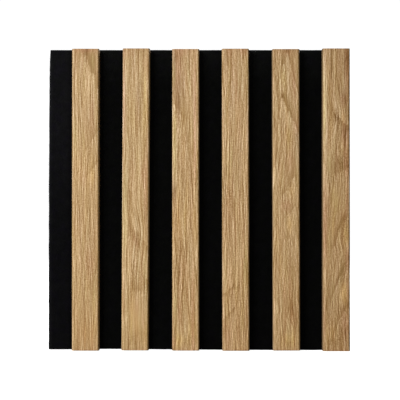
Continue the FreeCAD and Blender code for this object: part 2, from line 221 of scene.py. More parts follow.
# ------------------------------------------------------------------------ oak
# Each slat's figure is described on its own face, x across from its
# left edge and y down from its top end, both in millimetres.
#   rings   edges of growth rings that cross the face: a whole level, how plainly
#           it shows, then points. Above an edge is dense late wood, below it
#           open, paler early wood. Below zero, the pale side is above.
#   The rest are clouds: x, y, half width, half height, amount, and if they lean,
#   how far they go in x for each millimetre of y.
#   dark    darker wood, or paler where the amount is below zero
#   pink    mauve wood, or olive below zero
#   gold    richer yellow wood, or greyer below zero
#   calm    smooth wood without streaks, or pores below zero
#   bend    the fibres swing aside by so many millimetres
OAK = {
    1: dict(
        seed=3.1, tone=0.972, tint=(1.0, 0.995, 0.985), open=1.0, grain=0.93,
        rings=[
            (5, 1.0, [(12.2, 8), (14.9, 11.7), (17.2, 19), (20.4, 25.5), (23.5, 32.6), (25.4, 41)]),
            (5, 0.12, [(4.0, 40), (5.0, 24), (7.0, 14), (9.5, 9.5)]),
            (4, 0.70, [(26, 80), (23.5, 84.5), (21.5, 88.5), (19.5, 91.7), (17.6, 95.4), (15.5, 99.5), (12.5, 106)]),
            (4, 0.1, [(11, 116), (8, 130)]),
            (3, 0.65, [(26, 111.5), (24, 115.5), (21.3, 119.5), (18.5, 123), (15.5, 127), (12.5, 132)]),
            (3, 0.1, [(10, 139), (7, 150)]),
            (2, 0.45, [(24.5, 229), (21, 231), (18, 236), (16, 243)]),
        ],
        dark=[(20, 12, 5, 11, 0.7), (12, 4, 5, 5, 0.9), (4, 13, 2.6, 16, 0.7), (24, 43, 2, 8, 0.9), (22, 78, 3.5, 13, 0.7), (8.5, 70, 1.3, 20, 0.5), (20, 110, 4, 8, 0.45), (17.5, 94, 2.5, 6, -0.4), (20, 128, 3.2, 9, -0.5), (2.5, 100, 2, 22, -0.9), (11, 118, 1.6, 16, -0.35, 0.04), (20, 196, 4, 12, 0.4), (5, 212, 2.5, 14, -1.2), (20, 217, 4.5, 12, 0.8), (24.5, 245, 1.8, 20, -0.9), (15, 275, 3, 12, 0.6), (5.3, 274, 0.7, 16, 0.9), (3, 297, 3, 5, 0.7)],
        pink=[(14, 1.5, 11, 2.6, 1.4), (20, 62, 4, 16, 0.6), (11, 129, 4, 9, 0.7), (20, 214, 5, 14, 0.8), (14, 286, 7, 12, 0.5), (6.2, 277, 1.2, 12, 0.6), (20, 13, 4, 9, -0.7), (3, 85, 2.5, 25, -0.8), (3, 232, 5, 32, -0.4), (21, 252, 3, 20, -0.6)],
        gold=[(15, 284, 9, 17, 0.7), (20, 129, 4, 11, 0.6), (25, 285, 2, 18, 0.8), (7, 15, 4, 12, -0.8), (20, 14, 4, 12, -0.5), (4, 255, 2.5, 14, 0.6), (25, 160, 2, 12, 0.5)],
        calm=[(20, 14, 4, 10, 0.6), (12, 200, 10, 40, -0.35), (15, 262, 10, 25, 0.2)],
        bend=[(14, 95, 8, 30, 1.5), (8, 60, 8, 40, -1.2)],
    ),
    2: dict(
        seed=11.7, tone=1.0, tint=(1.0, 1.015, 1.015), open=0.75, grain=0.95,
        rings=[
            (3, -0.68, [(8, 138), (9, 154), (9.6, 168), (11.8, 178), (16.7, 182.5), (21, 188), (25, 195)]),
            (2, 0.5, [(5.5, 262), (7, 252), (8.5, 246), (11, 240.5), (14, 243.5), (17, 239), (20, 242), (24, 237)]),
            (1, 0.35, [(9, 294), (14, 286), (19, 285), (24, 288)]),
        ],
        dark=[(17, 3, 6, 5, 0.9), (9.6, 60, 0.9, 55, 0.8), (18.6, 50, 1.1, 24, 0.6), (13, 67, 2.6, 18, 0.9), (21, 85, 2.4, 20, 0.7), (24, 36, 1.8, 11, -0.9), (3, 160, 2.5, 50, -0.8), (7.6, 125, 0.9, 26, 0.7), (17.8, 118, 1.5, 18, -0.5), (23.5, 165, 2, 45, 0.6), (18.8, 167, 3.2, 10, 1.0), (12.6, 172, 1.6, 8, -0.9, 0.15), (15.5, 193, 2.6, 9, 0.9, 0.35), (16.5, 181, 2.4, 9, -0.8, 0.2), (19.3, 180, 0.7, 9, 0.9, 0.05), (13, 208, 3, 7, -1.2), (3, 232, 2.4, 18, -1.3), (3, 263, 2, 9, -1.0), (8.5, 248, 1.3, 12, 1.0), (16, 235, 7, 7, 0.5), (16, 266, 8, 18, -0.45), (16, 291, 5, 7, 1.2), (2.5, 292, 3, 9, 0.5)],
        pink=[(1.2, 50, 1.2, 50, 1.1), (22.5, 14, 2.5, 11, 0.9), (6, 4, 6, 4, 0.9), (22, 60, 2, 36, -0.6), (11, 125, 2.5, 25, 0.7), (23.8, 150, 1.8, 50, 1.2), (20, 124, 2, 10, 0.8), (3, 150, 3, 50, -0.7), (13.5, 190, 2.5, 9, 0.9, 0.3), (1.5, 240, 2, 50, 0.6), (24, 228, 1.5, 28, -1.0), (15, 256, 3, 9, 0.4)],
        gold=[(22, 65, 2.5, 36, 0.5), (14, 272, 8, 22, 0.7), (14, 220, 7, 18, -0.5), (22, 285, 4, 14, 0.7), (3, 40, 3, 40, -0.6), (15, 45, 4, 20, -0.4)],
        calm=[(16, 266, 8, 20, 1.5), (15, 224, 8, 14, -0.7), (12, 60, 12, 60, -0.1)],
        bend=[(14, 182, 9, 20, 3.4), (16, 150, 9, 22, -1.4)],
    ),
    3: dict(
        seed=23.3, tone=1.015, open=1.0, grain=1.02,
        rings=[
            (3, 0.8, [(1, 46), (2.8, 51), (5.4, 58), (8.1, 65), (10.6, 75), (13, 86), (14.4, 96)]),
            (3, 0.2, [(15.2, 108), (16, 124)]),
            (2, 0.25, [(3, 287), (6, 281), (9, 278.5), (12, 277), (15, 280), (18, 288)]),
        ],
        dark=[(5, 22, 5, 30, 0.9), (5, 8, 5, 6, 0.8), (9, 62, 3.2, 14, 0.5, 0.22), (14.5, 76, 2, 12, -1.4), (18.5, 26, 1.2, 16, -1.0), (15.5, 53, 1, 10, -0.9), (3, 71, 2, 10, 0.8), (24, 8, 1.5, 8, -0.9), (15.2, 20, 1.2, 20, 0.5), (24, 42, 1.5, 14, -1.1), (24, 85, 1.6, 13, -1.9), (24, 117, 1.6, 9, -0.8), (3, 98, 2.2, 26, -0.5), (1.4, 142, 2.4, 9, 2.2), (14, 138, 2.2, 20, 1.0), (22.3, 148, 0.6, 17, -1.2), (24, 203, 1.5, 12, -1.5), (24, 229, 1.5, 8, 0.9), (6.5, 195, 4, 9, 1.0), (5, 217, 5, 16, 1.0), (13, 232, 2.5, 16, 1.2), (11.5, 202, 2.5, 10, 1.4), (17, 290, 3, 7, 0.9), (7.5, 259, 2.4, 12, 0.7), (2, 252, 1.8, 14, -0.6), (24, 255, 1.5, 10, 0.8), (8, 286, 4.5, 8, -0.4), (24, 297, 2, 5, -1.1)],
        pink=[(5, 24, 4, 28, 1.2), (2, 24, 1.6, 14, -1.6), (22.7, 20, 1.0, 22, 1.2), (22.7, 88, 1.2, 42, 1.6), (10, 3, 8, 4, 0.9), (2.5, 92, 2, 32, -1.5), (20, 150, 1.6, 30, 0.9), (8, 216, 5, 18, 0.3), (7.5, 259, 2.2, 12, 0.7), (20.5, 255, 1.6, 48, 1.4), (3, 252, 2, 14, -1.2), (8, 287, 4.5, 9, -0.6), (1.5, 292, 2, 6, 1.2)],
        gold=[(9, 165, 9, 26, 0.7), (9, 40, 4, 20, -0.9), (2, 10, 3, 14, -1.0), (24, 118, 1.8, 14, 0.8), (8, 290, 8, 8, 0.9), (1.5, 142, 2.4, 9, -1.6), (2, 287, 2, 9, -1.0), (5, 30, 5, 24, -0.6), (20, 280, 3, 16, 0.7)],
        calm=[(5, 24, 5, 26, 0.7), (8, 216, 5, 20, -0.3), (12, 150, 12, 36, 0.1)],
        bend=[(9, 62, 9, 24, 1.8), (13, 280, 9, 20, 1.2)],
    ),
    4: dict(
        seed=37.9, tone=1.0, tint=(1.0, 0.985, 0.975), open=0.9, grain=1.24,
        rings=[
            (5, 0.30, [(3, 36), (3.8, 24), (5.6, 17.5), (7.5, 21), (9.2, 32), (10.5, 52)]),
            (4, 0.45, [(0.5, 118), (3, 122), (6.3, 127), (9.5, 134), (11.4, 143)]),
            (4, 0.15, [(12.2, 156), (13, 172)]),
            (3, -0.70, [(0.5, 244), (4.5, 241), (8.5, 237), (12, 233), (14.5, 225)]),
            (3, 0.10, [(15, 224), (16.5, 208)]),
            (2, -0.70, [(1.5, 269), (5, 265), (8.4, 260.5), (12, 256), (15, 250)]),
            (2, 0.10, [(16, 240), (17.5, 224)]),
        ],
        dark=[(8.4, 9, 1.8, 10, 1.0), (6, 25, 1.8, 8, -0.3), (21, 1.5, 4, 3, 0.8), (1.8, 30, 1.5, 14, 0.7), (20.5, 62, 0.9, 16, 0.5), (19.6, 88, 0.7, 13, -1.0), (11, 124, 2.2, 7, -0.8), (23, 90, 1.6, 14, -1.2), (2, 115, 1.8, 9, -2.0), (8, 136, 3, 13, 0.6, 0.12), (2, 165, 2, 26, 0.9), (9.8, 155, 1.6, 16, 0.7), (14.2, 152, 1.1, 14, -0.6), (16, 78, 2, 9, 0.9), (23, 226, 2, 18, 1.7), (2, 226, 1.8, 16, -1.3), (7, 222, 3, 12, -0.5), (10, 237, 4.5, 3.5, 0.7, -0.9), (10.5, 260, 3.2, 5, 0.5, -0.5), (23, 257, 1.8, 9, -0.4), (3, 280, 2.5, 10, 1.2), (17, 284, 1.3, 18, 0.9), (23, 277, 2, 8, 1.0)],
        pink=[(7.5, 3, 2.5, 6, 1.2), (21.5, 2.5, 4, 4, 1.1), (14, 50, 4, 26, 0.4), (20, 35, 3, 18, -0.4), (6, 150, 4, 26, 0.6), (2, 145, 1.5, 14, -1.0), (20, 122, 2.5, 20, 0.5), (5, 282, 4, 16, 0.9), (17, 286, 2, 16, 0.4), (9, 105, 3, 18, -0.5), (23, 220, 2, 50, -0.5)],
        gold=[(20, 42, 4, 24, -0.5), (1.5, 40, 2, 30, 0.5), (21, 235, 3, 30, 0.9), (2, 108, 2, 10, 0.6), (8, 6, 3, 6, -0.5)],
        calm=[(6, 275, 6, 14, 0.3), (6, 150, 5, 26, -0.5)],
        bend=[(8, 244, 9, 20, -1.8), (6, 30, 8, 26, 0.8)],
    ),
    5: dict(
        seed=47.1, tone=1.0, open=1.0, grain=0.97,
        rings=[
            (7, 1.0, [(7, 34), (8.6, 26), (10.3, 18), (12, 11.5), (13.5, 6.6), (14.5, 4.6), (15.6, 7), (17.5, 14), (19.5, 21.5), (21.5, 30), (24, 39), (26, 46)]),
            (6, 1.0, [(5.8, 72), (6.6, 62), (7.8, 54), (9.3, 49.4), (11, 51.5), (13, 55.5), (15.3, 60.5), (18.6, 68), (21.5, 73), (23.5, 77), (26, 84)]),
            (5, 0.85, [(9.5, 147), (11.7, 143.6), (14.8, 138.5), (17.3, 132.7), (19.5, 130), (22, 129.5)]),
            (5, 0.15, [(5, 166), (7.3, 154)]),
            (5, 0.35, [(24, 134), (25, 144)]),
            (4, 0.60, [(10, 171), (12.6, 167.5), (16.3, 163.8), (19, 161.5), (22.6, 158)]),
            (4, 0.10, [(6, 186), (8, 178)]),
            (3, 0.35, [(7.5, 204), (9.5, 194), (12, 188.5), (15, 187), (18, 190), (20.5, 199)]),
            (2, 0.75, [(14, 281), (16.5, 277.5), (19, 275), (22.6, 278)]),
            (2, 0.20, [(12, 291), (24.5, 288)]),
        ],
        dark=[(15, 1, 9, 3, 0.9), (24, 4, 3, 5, 0.8), (10, 13, 1.8, 8, 1.1), (2, 14, 2, 10, 1.8), (20.5, 30, 2.2, 22, 0.5, 0.12), (10.5, 27, 2.2, 9, -0.6, -0.1), (15, 71, 2.0, 6, -0.9), (10.3, 46.5, 2.4, 3.2, 1.3), (16.5, 57, 3, 9, 0.6, 0.3), (9, 59, 2, 9, -1.1), (2, 82, 2, 14, 1.5), (24, 87, 2, 6, 1.0), (5, 106, 2.6, 11, 1.1), (2, 126, 1.6, 10, -2.3), (19, 114, 4.5, 14, 0.5), (18.5, 141, 3.2, 8, -0.6), (14, 156, 5, 6, 0.3), (16, 174, 4, 9, -0.6), (24, 199, 2, 8, -1.2), (2, 212, 2, 12, 1.1), (9, 220, 2, 12, -0.8), (19, 218, 2.6, 12, 0.9), (18, 258, 5.5, 18, 1.2), (24, 240, 1.8, 9, 0.8), (20, 285, 3.5, 8, -0.9), (2.5, 259, 2, 10, -1.5)],
        pink=[(14, 3, 8, 4, 0.8), (21, 34, 2.4, 24, 0.8, 0.1), (24, 76, 2, 9, 1.3), (10, 28, 3, 9, -0.4), (17, 112, 6, 14, 0.8), (24, 118, 1.5, 16, -0.9), (14, 156, 5.5, 6.5, 0.9), (5, 178, 2, 12, 0.7), (15, 240, 5, 22, 0.6), (19, 266, 4, 10, 0.7), (18, 288, 4.5, 8, -0.3)],
        gold=[(10.5, 29, 3, 9, 0.7), (16, 86, 5, 12, 0.7), (24, 86, 2, 14, -1.0), (18, 142, 3.5, 9, 0.7), (17, 175, 5, 10, 1.0), (16, 290, 8, 9, 1.0), (9, 215, 4, 40, 0.4)],
        calm=[(19, 114, 5, 13, 0.9), (10.3, 47, 3, 4, -0.5), (16, 256, 5, 14, 0.2)],
        bend=[(14, 62, 9, 16, 1.5), (13, 140, 9, 16, -1.6)],
    ),
    6: dict(
        seed=59.7, tone=0.92, tint=(1.0, 0.975, 0.945), open=1.0, grain=0.98, rim=0.20,
        rings=[
            (7, 0.50, [(16.4, 2), (16.4, 18), (17, 30), (18.5, 38), (20.5, 46), (22.5, 54)]),
            (6, 0.30, [(7.8, 4), (8.0, 22)]),
            (6, -0.9, [(8.2, 34), (8.8, 46), (9.6, 56), (11, 62.5), (13.8, 66.5), (17.5, 70), (21.5, 73.5), (26, 77.5)]),
            (5, 0.55, [(9, 124), (12, 122.5), (16, 122), (20, 121.5), (24, 119)]),
            (4, 0.80, [(12, 196), (14, 188), (15.6, 181), (17.6, 175), (20, 171.5), (23.5, 169.5)]),
            (3, 0.85, [(5, 262), (7.5, 253), (10, 245), (13, 237), (16, 229), (19, 222), (22, 216), (25.5, 212)]),
            (3, 0.15, [(4.5, 276), (6, 268)]),
            (2, 0.85, [(7, 295), (10, 287), (13, 279), (16.5, 270), (20, 263), (25, 257)]),
        ],
        dark=[(2.4, 24, 2.0, 26, -1.7), (2.4, 66, 1.8, 34, -2.3), (2.8, 124, 2.2, 28, -2.0), (8.8, 24, 1.3, 28, 1.5), (12, 15, 1, 20, -0.6), (15.4, 20, 1.4, 22, 1.5), (18.8, 12, 1.2, 16, -0.6), (24, 9, 3.5, 15, 3.2), (24.3, 60, 2.2, 50, 1.1), (21, 50, 3, 8, 1.6), (13.6, 56, 1.8, 6, -1.9, 0.3), (20.5, 68, 2.0, 7, -0.7, 0.35), (12.5, 66, 2.6, 8, 1.6, 0.45), (21.5, 83, 3.5, 7, 1.9), (8.3, 98, 3, 28, -0.8), (17, 112, 6.5, 8, 0.9), (24, 118, 2.5, 9, 1.4), (10, 130, 1.4, 9, 1.6), (7.2, 150, 0.9, 18, 1.2), (2, 228, 1.6, 12, -1.4), (12, 152, 4, 14, -0.4), (24, 172, 2, 5, 1.3), (17.5, 178, 2.8, 9, 1.3, -0.35), (9.5, 176, 1.8, 14, -0.6), (22.5, 217, 3, 6, 1.7, -0.5), (17, 229, 2.6, 6, 1.0, -0.5), (5, 238, 1.1, 14, 1.1), (20, 242, 3.6, 10, -1.2, -0.25), (22.5, 262, 3.2, 7, 0.8), (21.5, 282, 4, 9, 1.2), (12, 292, 6, 6, 0.5)],
        pink=[(24.5, 20, 2.5, 24, 1.4), (21, 50, 3, 7, 1.0), (2, 64, 2, 28, -1.2), (22.5, 86, 3.4, 12, 1.8), (23.5, 113, 3, 12, 1.5), (6, 114, 2.4, 12, -1.3), (12, 150, 3.5, 14, -0.8), (24, 150, 2, 24, 1.1), (2, 175, 2, 45, 1.4), (20, 165, 2.5, 6, 0.9), (24.5, 207, 1.8, 10, 1.6), (24.5, 240, 1.6, 14, 1.2), (22, 275, 4, 18, 1.0), (1.5, 270, 1.6, 30, 0.8)],
        gold=[(12, 152, 5, 16, 0.5), (20.3, 69, 2, 7, 0.7), (9, 80, 4, 12, 0.5), (10, 176, 2.4, 14, 0.8), (23, 185, 3, 14, 1.4), (20.5, 243, 3.6, 12, 1.8), (8, 285, 4, 16, 1.0), (22.5, 84, 3.4, 7, -1.0), (19, 46, 3, 8, -1.0), (17, 112, 6, 8, -0.3)],
        calm=[(14, 145, 7, 17, 0.7), (20, 243, 4, 9, 0.5), (18, 112, 6, 7, -0.5), (16, 66, 6, 8, -0.4), (15, 285, 8, 10, -0.4)],
        bend=[(16, 66, 9, 20, 3.2), (16, 182, 9, 20, -4.0), (15, 245, 10, 30, -4.0), (10, 130, 6, 18, 1.6)],
    ),
}
FACE_Z = 150.0


def ring_field(p, X, Y):
    """Growth-ring level over the face, and how plainly the rings show."""
    stretch = 5.5
    pts, lev, show = [], [], []
    for level, strength, line in p["rings"]:
        line = np.array(line, float)
        # a point about every 2 mm of the stretched face
        for a, b in zip(line[:-1], line[1:]):
            n = max(1, int(np.hypot(b[0] - a[0], (b[1] - a[1]) / stretch) / 2.0))
            for i in range(n):
                pts.append(a + (b - a) * i / n)
                lev.append(level)
                show.append(strength)
        pts.append(line[-1])
        lev.append(level)
        show.append(strength)
    q = np.array(pts) / np.array([1.0, stretch])
    lev, show = np.array(lev, float), np.array(show)

    def kernel(d2):
        return np.where(d2 > 1e-9, 0.5 * d2 * np.log(np.maximum(d2, 1e-9)), 0.0)

    n = len(q)
    d2 = ((q[:, None, :] - q[None, :, :]) ** 2).sum(-1)
    A = np.zeros((n + 3, n + 3))
    A[:n, :n] = kernel(d2) + np.eye(n) * 0.2
    A[:n, n] = 1.0
    A[:n, n + 1:] = q
    A[n, :n] = 1.0
    A[n + 1:, :n] = q.T
    w = np.linalg.solve(A, np.concatenate([lev, np.zeros(3)]))
    g = np.stack([X, Y / stretch], -1)
    d2 = ((g[:, None, :] - q[None, :, :]) ** 2).sum(-1)
    R = kernel(d2) @ w[:n] + w[n] + g @ w[n + 1:]
    pull = np.exp(-d2 / 2.5 ** 2) + 1e-12
    strength = (pull * show).sum(1) / pull.sum(1)
    near = np.exp(-d2.min(1) / 4.5 ** 2) * strength
    return R, near


def blobs(items, X, Y):
    out = np.zeros_like(X)
    for x, y, rx, ry, amount, *lean in items:
        u = (X - x - (Y - y) * (lean[0] if lean else 0.0)) / rx
        out += amount * np.exp(-(u ** 2) - (((Y - y) / ry) ** 2))
    return out


def slat_section():
    """The veneer's outline, closed: outside from the back left round to the back
    right, then back along the inside. Each point: x, y (0 at the slat's back)."""
    w, d, r, t = 13.5, 12.0, 2.0, 0.5
    outer = []
    for y in np.linspace(0, -(d - r), 8)[:-1]:
        outer.append((-w, y))
    for a in np.linspace(0, 90, 8):
        a = math.radians(a)
        outer.append((-w + r - r * math.cos(a), -d + r - r * math.sin(a)))
    for x in np.linspace(-w + r, w - r, 38)[1:-1]:
        outer.append((x, -d))
    outer += [(-x, y) for x, y in outer[:15][::-1]]
    inner = []
    ri = r - t
    for y in (0.0, -4.0, -8.0):
        inner.append((-w + t, y))
    for a in np.linspace(0, 90, 5):
        a = math.radians(a)
        inner.append((-w + r - ri * math.cos(a), -d + r - ri * math.sin(a)))
    inner += [(-x, y) for x, y in inner[::-1]]
    return np.array(outer), np.array(inner)[::-1]


def slat_mesh(k):
    p = OAK[k]
    rng = np.random.default_rng(100 + k)
    outer, inner = slat_section()
    no, ni = len(outer), len(inner)
    m = no + ni
    rows = 230
    x0, lean, z_low, z_top = AXES[k]
    zs = np.linspace(z_low, z_top, rows) * 1000
    # unrolled distance across the sheet, 0 at the front's left corner
    step = np.hypot(*np.diff(outer, axis=0).T)
    run = np.concatenate([[0], np.cumsum(step)])
    run = run - run[-1] / 2 + 13.5
    sec = np.concatenate([outer, inner])
    P = np.zeros((rows, m, 3))
    P[..., 0] = sec[None, :, 0]
    P[..., 1] = sec[None, :, 1] - 9.0
    P[..., 2] = zs[:, None]
    # the saw leaves the ends a little ragged, and the faces aren't dead flat
    ripple = 0.05 * value_noise((rows, no), (60, 3), rng) + 0.04 * value_noise((rows, no), (16, 2), rng)
    front = np.clip((-sec[:no, 1] - 10.0) / 2.0, 0, 1)[None, :]
    P[:, :no, 1] += np.maximum(ripple, -0.0) * front * 0.8
    for end, sign in ((0, 1), (rows - 1, -1)):
        rag = np.abs(0.10 * rng.standard_normal(m)) + 0.12 * np.abs(value_noise((1, m), (1, 12), rng)[0])
        P[end, :, 2] += sign * rag * np.concatenate([front[0], np.zeros(ni)])
    P[..., 0] += x0 * 1000 + lean * P[..., 2]
    verts = (P / 1000.0).reshape(-1, 3)
    ids = np.arange(rows * m).reshape(rows, m)
    nxt = np.roll(ids, -1, axis=1)
    quads = np.stack([ids[:-1], nxt[:-1], nxt[1:], ids[1:]], -1).reshape(-1, 4)
    faces = [tuple(int(i) for i in q) for q in quads]
    # end faces: strips between the outside and the inside
    inside = np.arange(no, m)[::-1]
    for row, flip in ((0, True), (rows - 1, False)):
        i = j = 0
        base = row * m
        o_run = run / run[-1]
        span = np.concatenate([[0], np.cumsum(np.hypot(*np.diff(sec[inside], axis=0).T))])
        i_run = span / span[-1]
        lo, hi = run[0], run[-1]
        o_run = (run - lo) / (hi - lo)
        while i < no - 1 or j < ni - 1:
            if j == ni - 1 or (i < no - 1 and o_run[i + 1] <= i_run[j + 1]):
                tri = (base + i, base + i + 1, base + inside[j])
                i += 1
            else:
                tri = (base + i, base + inside[j + 1], base + inside[j])
                j += 1
            tri = tuple(int(v) for v in tri)
            faces.append(tri if flip else tri[::-1])
    mesh = bpy.data.meshes.new("oak_wrap_%d" % k)
    mesh.from_pydata([tuple(v) for v in verts], [], faces)
    mesh.validate()

    # the figure, laid on the unrolled sheet
    u = np.concatenate([run, np.clip(sec[no:, 0] + 13.5, 0, 27)])
    X = np.tile(u, rows)
    Y = FACE_Z - np.repeat(zs, m)
    R, near = ring_field(p, np.clip(X, -4, 31), Y)
    fields = {
        "sheet_u": X,
        "ring": R,
        "ring_near": near * np.clip((X + 3) / 3, 0, 1) * np.clip((30 - X) / 3, 0, 1),
        "dark": blobs(p["dark"], X, Y),
        "pink": blobs(p["pink"], X, Y),
        "gold": blobs(p["gold"], X, Y),
        "calm": blobs(p["calm"], X, Y),
        "bend": blobs(p["bend"], X, Y),
    }
    for name, values in fields.items():
        a = mesh.attributes.new(name, "FLOAT", "POINT")
        a.data.foreach_set("value", np.ascontiguousarray(values, dtype=np.float32))
    mesh.polygons.foreach_set("use_smooth", [True] * len(mesh.polygons))
    mesh.update()
    # the cut ends and the inner faces meet the outside at a sharp edge
    bm = bmesh.new()
    bm.from_mesh(mesh)
    bmesh.ops.recalc_face_normals(bm, faces=bm.faces)
    for e in bm.edges:
        if len(e.link_faces) == 2 and e.calc_face_angle(0) > math.radians(40):
            e.smooth = False
    bm.to_mesh(mesh)
    bm.free()
    mesh.update()
    return mesh


def oak_tone(level):
    """Oak's colour at a brightness of 0 to 255, as a screen shows it. Darker wood
    keeps the same step between its red, green and blue, so it looks richer."""
    rich = 0.06 * (152.0 - level)
    c = ((level + 38.0 + rich) / 255.0, (level + 4.0) / 255.0, (level - 42.0 - rich) / 255.0)
    return tuple((v / 12.92 if v <= 0.04045 else ((v + 0.055) / 1.055) ** 2.4) * 0.86 for v in c)


def oak_material(k):
    p = OAK[k]
    t = Tree("oak_%d" % k)
    x, y, z = t.position()

    def field(name):
        return E(t, t.node("ShaderNodeAttribute", attribute_type="GEOMETRY", attribute_name=name).outputs["Fac"])

    s = field("sheet_u")
    sd = p["seed"]
    # fibres: nearly upright, with slow waves and the swings given above
    w1 = t.noise(t.xyz(s / 30.0, z / 110.0, sd), detail=1.0) - 0.5
    w2 = t.noise(t.xyz(s / 8.0, z / 36.0, sd + 5.0), detail=2.0) - 0.5
    bent = s - field("bend") + w1 * 4.0 + w2 * 0.8

    # growth rings: a jagged edge, dark above and pale below
    jag = t.noise(t.xyz(bent * 0.9, z / 7.0, sd + 41.0), detail=3.0, rough=0.65) - 0.5
    wave = t.noise(t.xyz(s / 6.0, z / 26.0, sd + 43.0), detail=1.0) - 0.5
    R = field("ring") + jag * 0.28 + wave * 0.16
    f = t.math("FRACT", R)
    near = field("ring_near")
    late = t.step(f, 0.0, 0.34, 1.0, 0.0) * t.step(f, 0.0, 0.012)
    early = t.step(f, 0.62, 0.98)
    swapped = t.math("MAXIMUM", -near, 0.0)
    near = t.math("MAXIMUM", near, 0.0)
    rings = (t.step(f, 0.74, 0.985) * RING[2] - late * RING[3]) * swapped
    late, early = late * near, early * near
    rings = rings + late * RING[0] - early * RING[1]

    # streaks, wide to hair-fine: calm in late wood, lively in early wood
    def lines(across, long, seed, detail=1.0, rough=0.5, lag=0.9):
        """Lines along the grain. The difference of two neighbouring places in one
        noise leaves the narrow lines and takes the broad clouds out."""
        here = t.noise(t.xyz(bent * across, z / long, seed), detail=detail, rough=rough)
        there = t.noise(t.xyz(bent * across + lag, z / long, seed), detail=detail, rough=rough)
        return here - there

    fA = t.noise(t.xyz(bent * 0.10, z / 50.0, sd + 9.0), detail=0.0) - 0.5
    fB = t.noise(t.xyz(bent * 0.22, z / 40.0, sd + 13.0), detail=0.0) - 0.5
    short = FLECK[k]
    fC = lines(0.50, 52.0 * short, sd + 17.0)
    fD = lines(0.98, 21.0 * short, sd + 19.0, detail=3.0, rough=0.66)
    fE = t.noise(t.xyz(bent * 0.95, z / 1.4, sd + 27.0), detail=2.0, rough=0.75) - 0.5
    lively = t.math("MAXIMUM", 1.0 - late * 0.45 + early * 0.25 - field("calm") * 0.5, 0.15)
    streaks = fA * STREAK[0] + fB * STREAK[1] + (fC * STREAK[2] + fD * STREAK[3] + fE * STREAK[4]) * (lively * p["grain"])

    # pores: short dark dashes along the grain, crowded in the early wood
    patch = t.noise(t.xyz(bent * 0.16, z / 40.0, sd + 23.0), detail=2.0)
    where = early * 0.8 - late * 0.5 + (patch - 0.5) * 2.0 + (p["open"] - 0.6) - field("calm") * 1.2
    c1 = t.cells(t.xyz(bent / 1.30, z / (8.5 * short), sd), rand=1.0)
    c2 = t.cells(t.xyz(bent / 0.62 + 7.3, z / (4.2 * short), sd + 2.0), rand=1.0)
    big = t.step(c1, 0.12, 0.30, 1.0, 0.0) * t.step(where, -0.1, 0.6)
    small = t.step(c2, 0.13, 0.30, 1.0, 0.0) * t.step(where + fD * 2.0, -0.2, 0.9)
    pores = t.math("MINIMUM", big * 0.85 + small * 0.6, 1.0)

    cloud = t.noise(t.xyz(s / 13.0, z / 40.0, sd + 21.0), detail=2.0) - 0.5
    dark = rings + streaks + cloud * CLOUD + field("dark") * BLOB + pores * (PORE * p["grain"]) + 0.46
    base = t.ramp(dark, [(i / 6.0, oak_tone(205.0 - 125.0 * i / 6.0)) for i in range(7)])
    # hue: straw, olive and pink
    drift = t.noise(t.xyz(bent / 3.2, z / 50.0, sd + 31.0), detail=2.0) - 0.5
    rich = t.noise(t.xyz(bent / 4.1, z / 60.0, sd + 37.0), detail=2.0) - 0.5
    hue = drift * 1.1 + field("pink") * 0.48
    rich = rich * 1.1 + field("gold") * 0.40
    base = t.mix(t.step(hue, -0.10, 0.90, 0.0, 1.4), base, t.mix(1.0, base, (1.02, 0.925, 0.985), "MULTIPLY"))
    base = t.mix(t.step(hue, 0.10, -0.80, 0.0, 1.4), base, t.mix(1.0, base, (0.97, 1.035, 0.92), "MULTIPLY"))
    base = t.mix(t.step(rich, -0.05, 0.75, 0.0, 1.4), base, t.mix(1.0, base, (1.03, 0.99, 0.80), "MULTIPLY"))
    base = t.mix(t.step(rich, 0.05, -0.75, 0.0, 1.4), base, t.mix(1.0, base, (0.97, 1.0, 1.16), "MULTIPLY"))
    # the last millimetres at each end are warmer and darker, with a ragged edge, and the wood darkens a little
    # towards the top and the bottom
    end = t.step(t.math("ABSOLUTE", z) + fD * 6.0, 146.5, 151.0, 0.0, 0.45) + t.step(z, 118.0, 152.0, 0.0, 0.20) + t.step(z, -128.0, -152.0, 0.0, 0.14)
    base = t.mix(end, base, t.mix(1.0, base, (0.84, 0.74, 0.74), "MULTIPLY"))
    # painted light: the tone turns a little warmer from the top to the foot, standing in for a cool light from above
    base = t.mix(t.step(z, 150.0, -150.0), t.mix(1.0, base, (0.982, 1.0, 1.022), "MULTIPLY"), t.mix(1.0, base, (1.015, 0.998, 0.968), "MULTIPLY"))
    # painted shade: the two long rounded edges are darkened, and the left side face is
    # darker than the front; the left rim carries a painted greyish reflection and the
    # right rim a redder painted shade tint
    painted_edge_shade = t.step(s, -1.1, -0.75) * t.step(s, -0.30, 0.20, 1.0, 0.0) * 0.56 + t.step(s, 25.2, 26.6) * t.step(s, 28.0, 28.6, 1.0, 0.0) * p.get("rim", 0.34)
    painted_edge_shade = t.math("MAXIMUM", painted_edge_shade, t.step(s, -0.75, -1.2) * 0.34)
    base = t.mix(t.step(s, 1.6, 0.2), base, t.mix(1.0, base, (0.975, 1.01, 1.11), "MULTIPLY"))
    base = t.mix(t.step(s, 25.4, 27.0), base, t.mix(1.0, base, (1.03, 0.97, 0.82), "MULTIPLY"))
    base = t.mix(1.0, base, p.get("tint", (1.0, 1.0, 1.0)), "MULTIPLY")
    # the painted shade on the edges and the left side scales the colour down here
    base = t.scale_colour(base, p["tone"] * (1.0 - painted_edge_shade))

    rough = 0.58 + pores * 0.20 + fD * 0.10
    height = fD * 0.5 + fC * 0.4 - pores * 0.9
    normal = t.bump(height, 0.00007, 0.8)
    return t.finish(base, rough, normal, spec=0.25)


RING = (0.21, 0.075, 0.20, 0.09)
STREAK = (0.05, 0.10, 0.54, 1.14, 0.80)
# how long each slat's lines and pores run, against slat 2's
FLECK = {1: 0.85, 2: 1.0, 3: 0.65, 4: 0.95, 5: 0.45, 6: 0.48}
CLOUD = 0.07
BLOB = 0.12
PORE = 0.24


